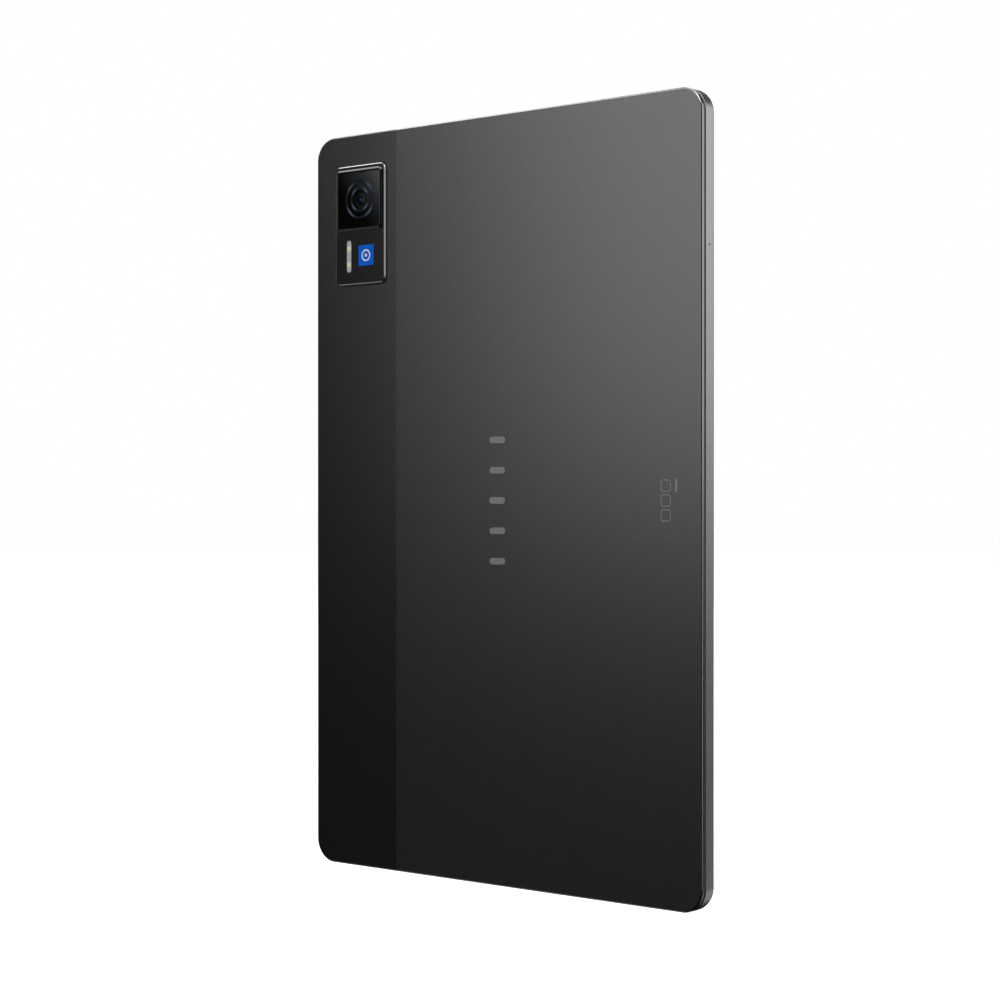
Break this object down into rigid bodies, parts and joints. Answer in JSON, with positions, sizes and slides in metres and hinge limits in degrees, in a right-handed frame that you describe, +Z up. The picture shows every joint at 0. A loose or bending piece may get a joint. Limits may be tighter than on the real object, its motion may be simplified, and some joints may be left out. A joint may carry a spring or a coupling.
{
  "type": "tablet computer",
  "caption": "Slim slate tablet with a metal back, antenna strip, raised camera island, glass front, side keys, card tray and USB-C port.",
  "frame": {"origin": "middle of the bottom short edge, at the centre of the object's box in Y, with the tablet upright", "axes": "+Z up the long edge, +Y out of the back panel, -Y out of the screen, +X towards the long edge with the cameras and the volume rocker"},
  "size_m": [0.1676, 0.0094, 0.2589],
  "materials": {
    "back_panel": "satin bead-blasted dark grey anodising",
    "antenna_strip": "smooth satin dark grey",
    "side_rail": "satin anodised mid grey",
    "island": "satin near-black with a bright rounded edge",
    "lens_trim": "polished chamfer, dark",
    "camera_window": "polished, dark tinted",
    "lens_rings": "spun, blue-grey",
    "lens_optics": "coated, blue-violet reflections",
    "screen_glass": "polished black, screen off",
    "display_panel": "black polariser film",
    "backlight_film": "pearly white film stack",
    "black_plastic": "fine matte",
    "flash_diffuser": "milky, ribbed inside",
    "led_phosphor": "matte yellow",
    "badge": "flat printed blue",
    "chassis_alloy": "stamped, matte",
    "steel_parts": "plain stamped steel",
    "circuit_board": "green solder mask",
    "flex_circuit": "amber polyimide",
    "battery_pouch": "black laminate foil",
    "black_seal": "foam adhesive",
    "acoustic_mesh": "fine black woven wire"
  },
  "bodies": {
    "housing": {"rear_cover": "back_panel", "antenna_cover": "antenna_strip", "mid_frame": "side_rail", "chassis_plate": "chassis_alloy", "cover_glass": "screen_glass", "display_seal": "black_seal", "lcd_panel": "display_panel", "backlight_unit": "backlight_film", "display_flex": "flex_circuit", "front_camera": "black_plastic", "battery_cell_inner": "battery_pouch", "battery_cell_outer": "battery_pouch", "battery_board": "circuit_board", "mainboard": "circuit_board", "processor_shield": "steel_parts", "radio_shield": "steel_parts", "usb_board": "circuit_board", "main_flex": "flex_circuit", "screw_1": "steel_parts", "screw_2": "steel_parts", "screw_3": "steel_parts", "screw_4": "steel_parts", "screw_5": "steel_parts", "wifi_antenna": "flex_circuit", "cellular_antenna": "flex_circuit", "usb_shell": "steel_parts", "usb_tongue": "black_plastic", "speaker_top_inner": "black_plastic", "speaker_top_outer": "black_plastic", "speaker_bottom_inner": "black_plastic", "speaker_bottom_outer": "black_plastic", "speaker_mesh_top_inner": "acoustic_mesh", "speaker_mesh_top_outer": "acoustic_mesh", "speaker_mesh_bottom_inner": "acoustic_mesh", "speaker_mesh_bottom_outer": "acoustic_mesh", "side_microphone": "steel_parts", "power_switch": "steel_parts", "volume_switch_up": "steel_parts", "volume_switch_down": "steel_parts", "side_key_flex": "flex_circuit", "card_socket": "steel_parts", "camera_island": "island", "lens_plate": "lens_trim", "camera_glass": "camera_window", "lens_shroud": "black_plastic", "lens_ring_outer": "lens_rings", "lens_ring_inner": "lens_rings", "camera_module": "black_plastic", "flash_lens": "flash_diffuser", "flash_led_upper": "led_phosphor", "flash_led_lower": "led_phosphor", "flash_board": "flex_circuit", "badge_plate": "badge"},
    "power_key": {"power_button": "side_rail"},
    "volume_key": {"volume_rocker": "side_rail"},
    "sim_tray": {"card_tray": "side_rail"},
    "ejector_rod": {"eject_rod": "steel_parts"},
    "ejector_lever": {"eject_lever": "steel_parts"},
    "lens_carrier": {"lens_barrel": "black_plastic", "lens_element": "lens_optics"}
  },
  "joints": [
    {"name": "power_button_press", "type": "slide", "parent": "housing", "child": "power_key", "axis": [0, 0, -1], "range_m": [0, 0.00025], "stiffness_N_per_m": 1200, "springref_m": -0.001},
    {"name": "volume_rocker_tilt", "type": "hinge", "parent": "housing", "child": "volume_key", "pos_m": [0.08087, -0.00105, 0.205], "axis": [0, 1, 0], "range_deg": [-1.2, 1.2], "stiffness_Nm_per_rad": 0.3},
    {"name": "card_tray_slide", "type": "slide", "parent": "housing", "child": "sim_tray", "axis": [1, 0, 0], "range_m": [0, 0.0275]},
    {"name": "eject_rod_push", "type": "slide", "parent": "housing", "child": "ejector_rod", "axis": [-1, 0, 0], "range_m": [0, 0.0014]},
    {"name": "eject_lever_swing", "type": "hinge", "parent": "housing", "child": "ejector_lever", "pos_m": [0.0514, -0.00045, 0.169], "axis": [0, -1, 0], "range_deg": [0, 25]},
    {"name": "lens_focus", "type": "slide", "parent": "housing", "child": "lens_carrier", "axis": [0, 1, 0], "range_m": [0, 0.0003], "stiffness_N_per_m": 100}
  ],
  "couplings": [
    {"joint": "eject_lever_swing", "follows": "eject_rod_push", "rad_per_m": 311}
  ]
}
